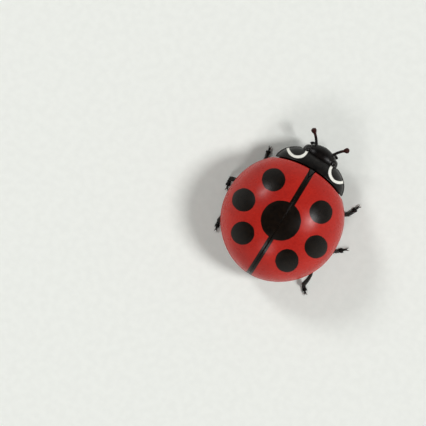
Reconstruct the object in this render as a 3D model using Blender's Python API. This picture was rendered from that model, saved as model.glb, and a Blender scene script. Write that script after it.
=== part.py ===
"""A seven-spot ladybird at life size, standing on six feet, as a still museum model.

Metres, +Z up, floor at z = 0. The head points to -Y, the animal's left side is +X and its mid-plane is x = 0.
Every place is worked out from the half-width of the wing cases and a few named sizes.
"""

import math

import bmesh
import bpy
from mathutils import Matrix, Vector

MM = 0.001
GAP = 0.03 * MM  # thin cut between neighbouring plates

# Wing cases: one dome, parted along the back.
HALF_WIDTH = 3.3 * MM
REAR_REACH = 3.4 * MM
FRONT_REACH = 3.45 * MM  # of the whole dome, before the pronotum cuts its front off
DOME_HEIGHT = 2.85 * MM
DOME_Y = 0.82 * MM  # the dome's centre, which puts the origin under the middle of the whole animal
RIM_Z = 1.35 * MM  # height of the dome's lower edge above the floor
RIM_LIFT_FRONT = 0.22 * MM
RIM_LIFT_REAR = 0.1 * MM
APEX_SHIFT = 0.2 * MM  # the top stands this far ahead of the dome's centre
SHOULDER_POWER = 2.12  # 2 is an ellipse in plan, and more gives squarer shoulders
PROFILE_POWER = 2.06  # the same for the dome's height
REAR_TAPER = 0.05
SHELL = 0.5 * MM  # thickness of a wing case
FRONT_WALL = 0.2  # share of that thickness by which the shell's inside stops short of its front
BELLY_DEPTH = 0.28 * MM
WAIST_Y = DOME_Y + 0.25 * MM  # where the thorax ends and the abdomen begins

# Joint line between the wing cases and the pronotum: a wide upright arc.
BASE_Y = DOME_Y - 3.18 * MM
BASE_RADIUS = 5.2 * MM

# Scutellum: the small triangle at the front end of the suture.
SCUTELLUM_WIDTH = 0.62 * MM
SCUTELLUM_LENGTH = 0.5 * MM

# Pronotum and the underside of the prothorax.
PRONOTUM_Y = BASE_Y + 0.45 * MM
PRONOTUM_HALF_WIDTH = 2.07 * MM
PRONOTUM_REACH = 1.37 * MM
PRONOTUM_HEIGHT = 1.48 * MM
PRONOTUM_Z = 1.4 * MM
PRONOTUM_POWER = 2.15
HOOD_PLACE = Vector((0, -1.19, 1.4)) * MM  # mouth of the pronotum, from the joint line and the floor
HOOD_SIZE = Vector((1.3, 0.78, 0.9)) * MM
CHEST_DEPTH = 0.36 * MM
CHEST_INSET = 0.16 * MM

# Head: a capsule bent forward and down, with the eyes let into its upper corners.
HEAD_Y = BASE_Y - 0.78 * MM
HEAD_Z = 1.56 * MM
HEAD_SIZE = Vector((0.93, 0.62, 0.68)) * MM
HEAD_TILT = math.radians(24)
JAW_TAPER = 0.32
CLYPEUS_BULGE = 0.08 * MM
EYE_PLACE = Vector((0.78, 0.0, 0.13)) * MM  # from the head's centre
EYE_SIZE = Vector((0.27, 0.33, 0.36)) * MM
LABRUM_PLACE = Vector((0, -0.4, -0.5)) * MM
LABRUM_SIZE = Vector((0.42, 0.26, 0.25)) * MM

# Feelers and palps, as a stem and a swollen end.
FEELER_ROOT = Vector((0.52, -0.2, 0.0)) * MM
FEELER_BEND = Vector((0.7, -0.78, -0.12)) * MM
FEELER_TIP = Vector((1.2, -1.2, 0.06)) * MM
FEELER_STEM = 0.25 * MM
FEELER_CLUB = 0.3 * MM
PALP_ROOT = Vector((0.4, 0.05, -0.5)) * MM
PALP_TIP = Vector((0.8, -0.5, -0.68)) * MM
PALP_STEM = 0.25 * MM
PALP_END = 0.27 * MM

# Legs. Places in plan are in half-widths of the dome, as (outward, ahead) from the dome's centre.
COXA_RADIUS = 0.32 * MM
COXA_Z = 0.9 * MM
HIP_Z = 0.78 * MM
KNEE_Z = 0.9 * MM
ANKLE_Z = 0.27 * MM
TOE_Z = 0.24 * MM
THIGH = (0.3 * MM, 0.25 * MM)  # half width and half height at the thickest place
SHIN = 0.25 * MM
FOOT = 0.26 * MM
TOE_BLUNTNESS = 0.45  # radius of the toe's flat tip, as a share of the foot's
COXAE = {"front": (0.22, 1.01), "middle": (0.25, 0.38), "hind": (0.32, -0.08)}
POSTURE = {
    "leg_front_left": {"knee": (0.6, 0.51), "ankle": (0.75, 0.74), "toe": (0.79, 0.94)},
    "leg_front_right": {"knee": (0.65, 0.53), "ankle": (0.91, 0.67), "toe": (0.99, 0.88)},
    "leg_middle_left": {"knee": (0.8, 0.24), "ankle": (1.08, 0.14), "toe": (1.03, -0.05)},
    "leg_middle_right": {"knee": (0.72, 0.12), "ankle": (1.02, 0.01), "toe": (1.2, 0.17)},
    "leg_hind_left": {"knee": (0.83, -0.35), "ankle": (0.87, -0.55), "toe": (0.83, -0.72)},
    "leg_hind_right": {"knee": (0.88, -0.46), "ankle": (0.87, -0.72), "toe": (0.99, -0.84)},
}
JOINT_OVERRUN = 0.3 * MM  # a piece is drawn this far past a joint, whose plane then cuts it whole
LEG_SIDES = 10
LEG_CUTS = 6

# Facets around and from top to bottom.
DOME_FACETS = (42, 20)
BODY_FACETS = (28, 16)
HEAD_FACETS = (24, 14)
SMALL_FACETS = (16, 10)
BALL_FACETS = (12, 7)
CLUB_FACETS = (10, 14)

SIDES = {"left": 1, "right": -1}

# Finishes: colour, roughness, metallic.
FINISHES = {
    "red_shell": ((0.48, 0.035, 0.02, 1), 0.22, 0.0),
    "black_shell": ((0.008, 0.007, 0.007, 1), 0.25, 0.0),
    "black_leg": ((0.012, 0.01, 0.009, 1), 0.38, 0.0),
    "black_belly": ((0.014, 0.012, 0.011, 1), 0.45, 0.0),
    "brown_feeler": ((0.06, 0.018, 0.01, 1), 0.4, 0.0),
    "dark_eye": ((0.01, 0.01, 0.011, 1), 0.2, 0.0),
}


def clear_scene():
    """Removes every object, then makes one collection for the animal and one for its cutters."""
    for old in list(bpy.data.objects):
        bpy.data.objects.remove(old, do_unlink=True)
    made = [bpy.data.collections.new(name) for name in ("ladybird", "cutters")]
    for collection in made:
        bpy.context.scene.collection.children.link(collection)
    return made


def finish(name):
    """The material of this name, made the first time it is asked for."""
    found = bpy.data.materials.get(name)
    if found:
        return found
    colour, roughness, metallic = FINISHES[name]
    material = bpy.data.materials.new(name)
    material.use_nodes = True
    shader = material.node_tree.nodes["Principled BSDF"]
    shader.inputs["Base Color"].default_value = colour
    shader.inputs["Roughness"].default_value = roughness
    shader.inputs["Metallic"].default_value = metallic
    return material


ANIMAL, CUTTERS = clear_scene()


def add_part(name, mesh_edit, slot):
    """Turns a bmesh into a named part of the animal, shaded smooth but for its sharp edges."""
    obj = as_object(name, mesh_edit, ANIMAL)
    obj.data.materials.append(finish(slot))
    obj.data.shade_smooth()
    obj.data.set_sharp_from_angle(angle=math.radians(40))
    return obj


def add_cutter(name, mesh_edit):
    """Turns a bmesh into a hidden cutter."""
    obj = as_object(name, mesh_edit, CUTTERS)
    obj.hide_render = True
    obj.display_type = "WIRE"
    return obj


def as_object(name, mesh_edit, collection):
    bmesh.ops.recalc_face_normals(mesh_edit, faces=mesh_edit.faces)
    mesh = bpy.data.meshes.new(name)
    mesh_edit.to_mesh(mesh)
    mesh_edit.free()
    obj = bpy.data.objects.new(name, mesh)
    collection.objects.link(obj)
    return obj


def carve(part, cutter, operation="DIFFERENCE"):
    """Cuts a part with another object, or keeps only what the two share."""
    modifier = part.modifiers.new(f"{operation.lower()} {cutter.name}", "BOOLEAN")
    modifier.operation = operation
    modifier.solver = "EXACT"
    modifier.object = cutter


def unit_ball(around, rings):
    ball = bmesh.new()
    bmesh.ops.create_uvsphere(ball, u_segments=around, v_segments=rings, radius=1)
    return ball


def slice_off(mesh_edit, point, normal):
    """Removes what lies on the normal's side of a plane, and closes the cut."""
    cut = bmesh.ops.bisect_plane(
        mesh_edit,
        geom=mesh_edit.verts[:] + mesh_edit.edges[:] + mesh_edit.faces[:],
        plane_co=point,
        plane_no=normal,
        clear_outer=True,
    )
    rim = [part for part in cut["geom_cut"] if isinstance(part, bmesh.types.BMEdge)]
    bmesh.ops.contextual_create(mesh_edit, geom=rim)


def superellipse(radial, power):
    """How far out a unit point of this radial share lies once its section has this power."""
    return math.copysign(abs(radial) ** (2 / power), radial)


def plan_corner(across, back, power):
    """How far out to push a point of an ellipse in plan, so that its power is this one."""
    share = math.hypot(across, back)
    if share < 1e-9:
        return 1.0
    return ((abs(across) / share) ** power + (abs(back) / share) ** power) ** (-1 / power)


def dome_point(unit, inset=0.0):
    """The place on the wing cases' dome of a point on the upper half of the unit ball."""
    across, back, up = unit
    radial = math.hypot(across, back)
    rise = superellipse(up, PROFILE_POWER)
    plan = superellipse(radial, PROFILE_POWER) / radial if radial > 1e-9 else 0.0
    reach, lift = REAR_REACH - inset, RIM_LIFT_REAR
    if back < 0:
        plan *= plan_corner(across, back, SHOULDER_POWER)
        reach, lift = FRONT_REACH - inset * FRONT_WALL, RIM_LIFT_FRONT
    across, back = across * plan, back * plan
    taper = 1 - REAR_TAPER * max(0.0, back) ** 2
    return Vector((
        (HALF_WIDTH - inset) * across * taper,
        DOME_Y + reach * back - APEX_SHIFT * rise,
        RIM_Z + (DOME_HEIGHT - inset) * rise + lift * back * back * (1 - rise),
    ))


def ellipsoid(centre, size, facets=SMALL_FACETS, grow=0.0):
    """A closed ball with these half sizes, which a cutter grows by the gap."""
    ball = unit_ball(*facets)
    for vert in ball.verts:
        vert.co = centre + Vector([unit * (half + grow) for unit, half in zip(vert.co, size)])
    return ball


def base_cylinder(name, grow):
    """The tall drum whose front wall is the joint line between wing cases and pronotum."""
    drum = bmesh.new()
    bmesh.ops.create_cone(
        drum,
        cap_ends=True,
        segments=128,
        radius1=BASE_RADIUS + grow,
        radius2=BASE_RADIUS + grow,
        depth=6 * DOME_HEIGHT,
    )
    bmesh.ops.translate(drum, verts=drum.verts, vec=(0, BASE_Y + BASE_RADIUS, 0))
    return add_cutter(name, drum)


def scutellum_prism(name, grow):
    """An upright triangular prism, wide at the pronotum and pointed to the rear."""
    prism = bmesh.new()
    half, tip = SCUTELLUM_WIDTH / 2 + grow, BASE_Y + SCUTELLUM_LENGTH + 2 * grow
    front = BASE_Y - 0.4 * MM
    corners = [prism.verts.new(at) for at in ((half, front, 0), (0, tip, 0), (-half, front, 0))]
    base = prism.faces.new(corners)
    top = bmesh.ops.extrude_face_region(prism, geom=[base])["geom"]
    raised = [part for part in top if isinstance(part, bmesh.types.BMVert)]
    bmesh.ops.translate(prism, verts=raised, vec=(0, 0, 3 * DOME_HEIGHT))
    return add_cutter(name, prism)


def dome_shell():
    """The dome as one closed shell, its outer and inner surfaces joined by a level rim."""
    shell = unit_ball(*DOME_FACETS)
    below = [vert for vert in shell.verts if vert.co.z < -1e-4]
    bmesh.ops.delete(shell, geom=below, context="VERTS")
    outer = shell.verts[:]
    made = bmesh.ops.extrude_face_region(shell, geom=shell.faces[:], use_keep_orig=True)["geom"]
    inner = [part for part in made if isinstance(part, bmesh.types.BMVert)]
    for verts, inset in ((outer, 0.0), (inner, SHELL)):
        for vert in verts:
            vert.co = dome_point(vert.co.copy(), inset)
    return shell


def build_wing_cases(drum, prism_cutter):
    for side, sign in SIDES.items():
        shell = dome_shell()
        slice_off(shell, (sign * GAP / 2, 0, 0), (-sign, 0, 0))
        case = add_part(f"elytron_{side}", shell, "red_shell")
        carve(case, drum, "INTERSECT")
        carve(case, prism_cutter)


def build_scutellum(drum):
    """A triangle of the dome's own surface, filling the notch between the wing cases."""
    plate = add_part("scutellum", dome_shell(), "black_shell")
    carve(plate, drum, "INTERSECT")
    carve(plate, scutellum_prism("scutellum outline", 0.0), "INTERSECT")


def core_point(unit):
    """The place on the body under the wing cases: their inner dome above, a shallow belly below."""
    inset = SHELL + GAP
    if unit.z >= 0:
        return dome_point(unit, inset)
    radial = math.hypot(unit.x, unit.y)
    centre = Vector((0, DOME_Y, RIM_Z))
    rim = dome_point(Vector((unit.x, unit.y, 0)).normalized(), inset) if radial > 1e-6 else centre
    out = centre.lerp(rim, superellipse(radial, PROFILE_POWER))
    return out - Vector((0, 0, BELLY_DEPTH * superellipse(-unit.z, PROFILE_POWER)))


def build_trunk(drum, sockets):
    """The thorax and abdomen, which fill the wing cases and show as the belly."""
    for name, sign in (("thorax", 1), ("abdomen", -1)):
        core = unit_ball(*BODY_FACETS)
        for vert in core.verts:
            vert.co = core_point(vert.co.copy())
        slice_off(core, (0, WAIST_Y - sign * GAP / 2, 0), (0, sign, 0))
        part = add_part(name, core, "black_belly")
        if name == "thorax":
            carve(part, drum, "INTERSECT")
            for socket in sockets["middle"] + sockets["hind"]:
                carve(part, socket)


def pronotum_point(unit, depth, inset):
    """The place on the pronotum for a point above the middle of the unit ball, and on the chest below it."""
    across, back, up = unit
    corner = plan_corner(across, back, PRONOTUM_POWER)
    return Vector((
        (PRONOTUM_HALF_WIDTH - inset) * across * corner,
        PRONOTUM_Y + (PRONOTUM_REACH - inset) * back * corner,
        PRONOTUM_Z + depth * up,
    ))


def build_prothorax(drum, head_cutters, sockets):
    """The pronotum above and the chest plate below it, parted by a thin level cut."""
    hood_at = HOOD_PLACE + Vector((0, BASE_Y, 0))
    hood = add_cutter("pronotum mouth", ellipsoid(hood_at, HOOD_SIZE, BODY_FACETS))
    plates = (("pronotum", 1, PRONOTUM_HEIGHT, 0.0), ("prothorax", -1, CHEST_DEPTH, CHEST_INSET))
    for name, sign, depth, inset in plates:
        plate = unit_ball(*BODY_FACETS)
        for vert in plate.verts:
            vert.co = pronotum_point(vert.co.copy(), depth, inset)
        slice_off(plate, (0, 0, PRONOTUM_Z + sign * GAP / 2), (0, 0, -sign))
        part = add_part(name, plate, "black_shell" if sign > 0 else "black_belly")
        carve(part, drum)
        for cutter in head_cutters + [hood]:
            carve(part, cutter)
        if sign < 0:
            for socket in sockets["front"]:
                carve(part, socket)


def head_shape(grow=0.0):
    """The head capsule: widest at the eyes, narrowing to the mouth, with the clypeus standing forward."""
    capsule = unit_ball(*HEAD_FACETS)
    turn = Matrix.Rotation(HEAD_TILT, 3, "X")
    centre = Vector((0, HEAD_Y, HEAD_Z))
    for vert in capsule.verts:
        across, back, up = vert.co
        narrow = 1 - JAW_TAPER * max(0.0, -up) ** 1.5
        bulge = CLYPEUS_BULGE * max(0.0, -back) * math.exp(-(((up + 0.45) / 0.3) ** 2))
        shaped = Vector((
            (HEAD_SIZE.x + grow) * across * narrow,
            (HEAD_SIZE.y + grow) * back - bulge,
            (HEAD_SIZE.z + grow) * up,
        ))
        vert.co = centre + turn @ shaped
    return capsule


def mirrored(place, sign):
    return Vector((place.x * sign, place.y, place.z))


def build_head():
    """The head, its eyes, upper lip, feelers and palps. Returns what has to be cut out of the prothorax."""
    centre = Vector((0, HEAD_Y, HEAD_Z))
    head = add_part("head", head_shape(), "black_shell")
    head_cutter = add_cutter("head room", head_shape(GAP))
    lip_at = centre + LABRUM_PLACE
    lip_cutter = add_cutter("labrum room", ellipsoid(lip_at, LABRUM_SIZE, grow=GAP))
    lip = add_part("labrum", ellipsoid(lip_at, LABRUM_SIZE), "black_shell")
    carve(lip, head_cutter)
    cutters = [head_cutter]
    for side, sign in SIDES.items():
        eye_at = centre + mirrored(EYE_PLACE, sign)
        eye_cutter = add_cutter(f"eye socket {side}", ellipsoid(eye_at, EYE_SIZE, grow=GAP))
        add_part(f"eye_{side}", ellipsoid(eye_at, EYE_SIZE), "dark_eye")
        carve(head, eye_cutter)
        cutters.append(eye_cutter)
        feeler_places = [centre + mirrored(at, sign) for at in (FEELER_ROOT, FEELER_BEND, FEELER_TIP)]
        feeler = club(f"antenna_{side}", feeler_places, FEELER_STEM, FEELER_CLUB, "brown_feeler")
        palp_places = [centre + mirrored(at, sign) for at in (PALP_ROOT, PALP_TIP)]
        palp = club(f"palp_{side}", palp_places, PALP_STEM, PALP_END, "black_shell")
        for cutter in (head_cutter, eye_cutter):
            carve(feeler, cutter)
        for cutter in (head_cutter, lip_cutter):
            carve(palp, cutter)
    return cutters


def club(name, places, stem, end, slot):
    """A stalk along a smooth line through the places, swelling to a rounded club over its last third."""
    line = smooth_line(places, 13)
    ball = unit_ball(*CLUB_FACETS)
    bmesh.ops.rotate(ball, verts=ball.verts, matrix=Matrix.Rotation(math.pi / 2, 3, "X"))
    last = len(line) - 1
    length = (line[-1] - line[0]).length
    for vert in ball.verts:
        across, along, up = vert.co
        share = (1 + along) / 2
        around = math.hypot(across, up)
        swell = stem + (end - stem) * smooth_step((share - 0.5) / 0.3)
        at, heading = along_line(line, share * last)
        radius = swell * round_end(min(share, 1 - share) * length / swell)
        if around > 1e-6:
            side = heading.cross(Vector((0, 0, 1))).normalized()
            over = side.cross(heading)
            vert.co = at + (side * across + over * up) * (radius / around)
        else:
            vert.co = at
    return add_part(name, ball, slot)


def round_end(share):
    """The radius of a rounded end at a depth given as a share of the full radius."""
    share = min(1.0, max(0.0, share))
    return math.sqrt(share * (2 - share))


def smooth_step(share):
    share = min(1.0, max(0.0, share))
    return share * share * (3 - 2 * share)


def smooth_line(places, count):
    """Points along a line, or along the curve that has the middle place as its handle."""
    if len(places) == 2:
        return [places[0].lerp(places[1], i / (count - 1)) for i in range(count)]
    start, handle, end = places
    shares = [i / (count - 1) for i in range(count)]
    return [start.lerp(handle, s).lerp(handle.lerp(end, s), s) for s in shares]


def along_line(line, at):
    index = min(len(line) - 2, int(at))
    step = line[index + 1] - line[index]
    return line[index] + step * (at - index), step.normalized()


def in_plan(place, sign, height):
    """A place given in half-widths, outward and ahead of the dome's centre."""
    outward, ahead = place
    return Vector((sign * outward * HALF_WIDTH, DOME_Y - ahead * HALF_WIDTH, height))


def limb(name, start, end, girth, planes, slot="black_leg"):
    """One leg piece: a tube of changing oval section, cut off by planes through its joints.

    girth gives the half width and half height at a share of the length. Each plane is a point and the normal
    of the side that is removed.
    """
    tube = bmesh.new()
    bmesh.ops.create_cone(tube, cap_ends=True, segments=LEG_SIDES, radius1=1, radius2=1, depth=1)
    upright = [edge for edge in tube.edges if abs(edge.verts[0].co.z - edge.verts[1].co.z) > 0.5]
    bmesh.ops.subdivide_edges(tube, edges=upright, cuts=LEG_CUTS)
    heading = (end - start).normalized()
    side = heading.cross(Vector((0, 0, 1))).normalized()
    over = side.cross(heading)
    for vert in tube.verts:
        share = vert.co.z + 0.5
        wide, high = girth(share)
        at = start.lerp(end, share)
        vert.co = at + side * vert.co.x * wide + over * vert.co.y * high
    for point, normal in planes:
        slice_off(tube, point, normal)
    return add_part(name, tube, slot)


def beyond(start, end):
    """The place one overrun past the end of a line."""
    return end + (end - start).normalized() * JOINT_OVERRUN


def mitre(joint, before, after):
    """The plane that halves the bend at a joint, as the normal pointing along the leg."""
    return ((joint - before).normalized() + (after - joint).normalized()).normalized()


def build_leg(name, sign, cutter):
    """The thigh, shin and foot. The thigh is hollowed to its ball joint, and the foot has a flat sole."""
    row = name.split("_")[1]
    places = POSTURE[name]
    hip = in_plan(COXAE[row], sign, HIP_Z)
    knee = in_plan(places["knee"], sign, KNEE_Z)
    ankle = in_plan(places["ankle"], sign, ANKLE_Z)
    toe = in_plan(places["toe"], sign, TOE_Z)
    at_knee, at_ankle = mitre(knee, hip, ankle), mitre(ankle, knee, toe)

    def thigh_girth(share):
        fullness = 0.78 + 0.22 * math.sin(math.pi * share**0.8)
        return THIGH[0] * fullness, max(THIGH[1] * fullness, SHIN * smooth_step(share * 2))

    def shin_girth(share):
        swell = SHIN * (1 + 0.1 * share)
        return swell, swell

    def foot_girth(share):
        swell = FOOT * (1.12 - 0.1 * share) * max(TOE_BLUNTNESS, round_end((1 - share) / 0.3))
        return swell, swell

    ground = ((0, 0, 0), (0, 0, -1))
    before_knee = (knee - at_knee * GAP / 2, at_knee)
    after_knee = (knee + at_knee * GAP / 2, -at_knee)
    before_ankle = (ankle - at_ankle * GAP / 2, at_ankle)
    after_ankle = (ankle + at_ankle * GAP / 2, -at_ankle)
    thigh = limb(f"{name}_femur", hip, beyond(hip, knee), thigh_girth, [before_knee])
    carve(thigh, cutter)
    shin_ends = beyond(ankle, knee), beyond(knee, ankle)
    limb(f"{name}_tibia", *shin_ends, shin_girth, [after_knee, before_ankle, ground])
    limb(f"{name}_tarsus", beyond(toe, ankle), toe, foot_girth, [after_ankle, ground])


def build_coxae():
    """The ball joint at the root of each leg. Returns the cutters that make room for the balls, by row."""
    sockets = {row: [] for row in COXAE}
    by_leg = {}
    size = Vector((1, 1, 1)) * COXA_RADIUS
    for row, place in COXAE.items():
        for side, sign in SIDES.items():
            name = f"leg_{row}_{side}"
            at = in_plan(place, sign, COXA_Z)
            add_part(f"{name}_coxa", ellipsoid(at, size, BALL_FACETS), "black_leg")
            cutter = add_cutter(f"{name} socket", ellipsoid(at, size, BALL_FACETS, GAP))
            sockets[row].append(cutter)
            by_leg[name] = cutter
    return sockets, by_leg


def build_ladybird():
    drum = base_cylinder("base line", 0.0)
    wide_drum = base_cylinder("base line with gap", GAP)
    prism_cutter = scutellum_prism("scutellum notch", GAP)
    sockets, by_leg = build_coxae()
    build_wing_cases(drum, prism_cutter)
    build_scutellum(drum)
    build_trunk(drum, sockets)
    build_prothorax(wide_drum, build_head(), sockets)
    for name, cutter in by_leg.items():
        build_leg(name, SIDES[name.split("_")[2]], cutter)


build_ladybird()
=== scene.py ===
"""The looks of a life-size seven-spot ladybird: shell plates, head, legs, bristles, colours and studio."""

import random
from functools import cache, partial
from math import asin, atan2, cos, exp, hypot, pi, radians, sin, sqrt

import bmesh
import bpy
from bpy.props import FloatProperty, FloatVectorProperty, IntProperty, PointerProperty
from mathutils import Matrix, Vector


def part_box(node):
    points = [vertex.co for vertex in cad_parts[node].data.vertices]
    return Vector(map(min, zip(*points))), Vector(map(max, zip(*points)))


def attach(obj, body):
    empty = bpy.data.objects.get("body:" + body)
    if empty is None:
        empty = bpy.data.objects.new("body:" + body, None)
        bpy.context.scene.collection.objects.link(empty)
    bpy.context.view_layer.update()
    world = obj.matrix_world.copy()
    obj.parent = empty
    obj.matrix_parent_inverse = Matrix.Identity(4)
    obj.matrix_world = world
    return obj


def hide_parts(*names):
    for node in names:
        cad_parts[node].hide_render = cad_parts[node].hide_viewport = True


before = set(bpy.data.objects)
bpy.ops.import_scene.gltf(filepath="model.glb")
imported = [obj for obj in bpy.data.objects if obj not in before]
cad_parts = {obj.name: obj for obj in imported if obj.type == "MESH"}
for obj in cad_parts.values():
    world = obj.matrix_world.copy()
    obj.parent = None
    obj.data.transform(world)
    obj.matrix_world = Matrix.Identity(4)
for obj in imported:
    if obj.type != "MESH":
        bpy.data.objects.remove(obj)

bl_info = {
    "name": "Ladybird",
    "version": (1, 0, 0),
    "blender": (4, 5, 0),
    "location": "3D View > Sidebar > Ladybird",
    "description": "Builds a life-size seven-spot ladybird piece by piece, with its studio",
    "category": "Object",
}

MM = 0.001
SIDES = {"left": 1, "right": -1}
UP = Vector((0, 0, 1))

CASE_LOW, CASE_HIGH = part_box("elytron_left")
SHIELD_LOW, SHIELD_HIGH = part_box("pronotum")
PLATE_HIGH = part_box("scutellum")[1]

# Where each leg bends, as (outward, ahead) from the dome's centre in half-widths of the dome.
POSTURE = {
    "leg_front_left": {"knee": (0.6, 0.51), "ankle": (0.75, 0.74), "toe": (0.79, 0.94)},
    "leg_front_right": {"knee": (0.65, 0.53), "ankle": (0.91, 0.67), "toe": (0.99, 0.88)},
    "leg_middle_left": {"knee": (0.8, 0.24), "ankle": (1.08, 0.14), "toe": (1.03, -0.05)},
    "leg_middle_right": {"knee": (0.72, 0.12), "ankle": (1.02, 0.01), "toe": (1.2, 0.17)},
    "leg_hind_left": {"knee": (0.83, -0.35), "ankle": (0.87, -0.55), "toe": (0.83, -0.72)},
    "leg_hind_right": {"knee": (0.88, -0.46), "ankle": (0.87, -0.72), "toe": (0.99, -0.84)},
}


# --- settings ---


def length(name, description, default):
    return FloatProperty(
        name=name, description=description, default=default, subtype="DISTANCE", unit="LENGTH", precision=5
    )


def colour(name, description, default):
    """A colour setting, given as an sRGB hex value."""
    return FloatVectorProperty(
        name=name, description=description, default=linear(default), subtype="COLOR", size=4, min=0, max=1
    )


def linear(hex_value):
    """An sRGB hex value such as "#c0392b" as linear red, green, blue and alpha."""
    parts = [int(hex_value[i : i + 2], 16) / 255 for i in (1, 3, 5)]
    return tuple(p / 12.92 if p <= 0.04045 else ((p + 0.055) / 1.055) ** 2.4 for p in parts) + (1.0,)


class LadybirdBody(bpy.types.PropertyGroup):
    """Sizes of the shell, which repeat those of the solid model."""

    half_width: length("Half width", "Half the width of the wing cases", CASE_HIGH.x)
    rear_reach: length("Rear reach", "From the dome's centre to its rear end", 3.4 * MM)
    front_reach: length("Front reach", "From the dome's centre to its uncut front end", 3.45 * MM)
    dome_height: length("Dome height", "From the rim to the top", CASE_HIGH.z - CASE_LOW.z)
    dome_y: length("Dome centre", "Place of the dome's centre along the body", 0.82 * MM)
    rim_z: length("Rim height", "Height of the rim above the floor", CASE_LOW.z)
    base_y: length("Joint line", "Where the pronotum meets the wing cases on the mid-line", -2.36 * MM)
    base_radius: length("Joint radius", "Radius of that joint line in plan", 5.2 * MM)
    shell: length("Shell", "Thickness of a wing case with its folded edge", 0.5 * MM)
    seam: length("Seam", "Gap between neighbouring plates", 0.03 * MM)
    suture: length("Suture", "Gap between the two wing cases", 0.012 * MM)
    bead: length("Edge bead", "How far the wing cases' margin stands out", 0.022 * MM)


class LadybirdMarks(bpy.types.PropertyGroup):
    """Sizes of the markings, seen from above."""

    main_spot: length("Main spot", "Radius of the large spot on the middle of the back", 1.08 * MM)
    small_spot: length("Small spot", "Radius of the six small spots", 0.63 * MM)
    stripe: length("Stripe", "Width of the stripe along the back", 0.32 * MM)
    arc_radius: length("Arc radius", "Middle radius of the pale arcs on the pronotum", 0.54 * MM)
    arc_width: length("Arc width", "Width of those arcs", 0.145 * MM)
    edge: length("Edge softness", "Half the width over which a mark fades out", 0.018 * MM)


class LadybirdColours(bpy.types.PropertyGroup):
    """Colours of the living animal's surfaces and of the studio floor."""

    red: colour("Red", "Main red of the wing cases", "#bd2a20")
    deep_red: colour("Deep red", "Darker red patches of the wing cases", "#a2201a")
    spot: colour("Spot", "Brown-black of the spots", "#150d07")
    black: colour("Black", "Black of the head and pronotum", "#040303")
    leg: colour("Leg", "Brown-black of the legs", "#0a0706")
    club: colour("Club", "Red-brown of the feelers' clubs", "#340f09")
    ivory: colour("Ivory", "White of the arcs", "#f6f4ec")
    claw: colour("Claw", "Red-brown of the claws", "#2a120a")
    bristle: colour("Bristle", "Fine bristles", "#4b3d2b")
    eye: colour("Eye", "Pigment behind the eyes' lenses", "#08080a")
    floor: colour("Floor", "Studio floor", "#f8faf5")


class LadybirdLegs(bpy.types.PropertyGroup):
    """Thicknesses of the legs, as in life, and the heights of their joints."""

    thigh: length("Thigh", "Half the width of the thigh", 0.225 * MM)
    shin: length("Shin", "Half the width of the shin", 0.105 * MM)
    foot: length("Foot", "Half the width of the foot's lobes", 0.12 * MM)
    hip_z: length("Hip height", "Height of the thigh's root", 0.8 * MM)
    knee_z: length("Knee height", "Height of the knee", 1.0 * MM)
    ankle_z: length("Ankle height", "Height of the ankle", 0.2 * MM)
    bristles: IntProperty(name="Bristles", description="Bristles on each shin", default=260, min=0)


GROUPS = {
    "ladybird_body": LadybirdBody,
    "ladybird_marks": LadybirdMarks,
    "ladybird_colours": LadybirdColours,
    "ladybird_legs": LadybirdLegs,
}


def settings(context):
    """The settings of the body, marks, colours and legs."""
    return [getattr(context.scene, name) for name in GROUPS]


# --- places and shares ---


def mm(x, y, z):
    """A place or size given in millimetres."""
    return Vector((x, y, z)) * MM


def middle(node):
    """The middle of a solid's box."""
    low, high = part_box(node)
    return (low + high) / 2


HIPS = {leg: middle(f"{leg}_coxa") for leg in POSTURE}


def clamp(value):
    return min(1.0, max(0.0, value))


def smooth_step(low, high, value):
    share = clamp((value - low) / (high - low))
    return share * share * (3 - 2 * share)


def hump(value, width):
    """1 at zero, falling off as a bell of this half width."""
    return exp(-((value / width) ** 2))


def crowd_ends(share, amount=0.85):
    """Spreads shares from 0 to 1 so that they lie closer together near both ends."""
    return share - amount * sin(2 * pi * share) / (2 * pi)


def fillet(distance, radius):
    """How far a rounded edge lies under its surface at a distance from the edge."""
    inside = max(0.0, radius - max(0.0, distance))
    return radius - sqrt(max(0.0, radius * radius - inside * inside))


def disc_point(u, v):
    """A grid point of 0 to 1 each way moved onto the unit disc: its place, and how far out it lies."""
    a, b = u * 2 - 1, v * 2 - 1
    across, back = a * sqrt(1 - b * b / 2), b * sqrt(1 - a * a / 2)
    return across, back, hypot(across, back)


def solve(wanted, low, high):
    """The value between low and high where wanted changes from positive to negative."""
    for _ in range(26):
        between = (low + high) / 2
        if wanted(between) > 0:
            low = between
        else:
            high = between
    return (low + high) / 2


# --- mesh helpers ---


def unit_ball(around, rings):
    ball = bmesh.new()
    bmesh.ops.create_uvsphere(ball, u_segments=around, v_segments=rings, radius=1)
    return ball


def lay_shell(across, along, place, thickness):
    """A closed shell of two layers: place(u, v, depth) gives the points of each, from a grid of 0 to 1."""
    sheet = bmesh.new()
    bmesh.ops.create_grid(sheet, x_segments=across, y_segments=along, size=0.5)
    bmesh.ops.translate(sheet, verts=sheet.verts, vec=(0.5, 0.5, 0))
    outer = sheet.verts[:]
    made = bmesh.ops.extrude_face_region(sheet, geom=sheet.faces[:], use_keep_orig=True)["geom"]
    inner = [part for part in made if isinstance(part, bmesh.types.BMVert)]
    for verts, depth in ((outer, 0.0), (inner, thickness)):
        for vert in verts:
            vert.co = place(vert.co.x, vert.co.y, depth)
    bmesh.ops.remove_doubles(sheet, verts=sheet.verts, dist=1e-7)
    return sheet


def chart_about(centre, axis, size):
    """A function that lays a domed surface flat about its crown: metres along the surface, each way."""
    turn = axis.to_track_quat("Z", "Y").to_matrix().transposed()

    def chart(at):
        local = turn @ (at - centre)
        across = hypot(local.x, local.y)
        if across < 1e-12:
            return 0.0, 0.0
        share = size * atan2(across, local.z) / across
        return local.x * share, local.y * share

    return chart


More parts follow.
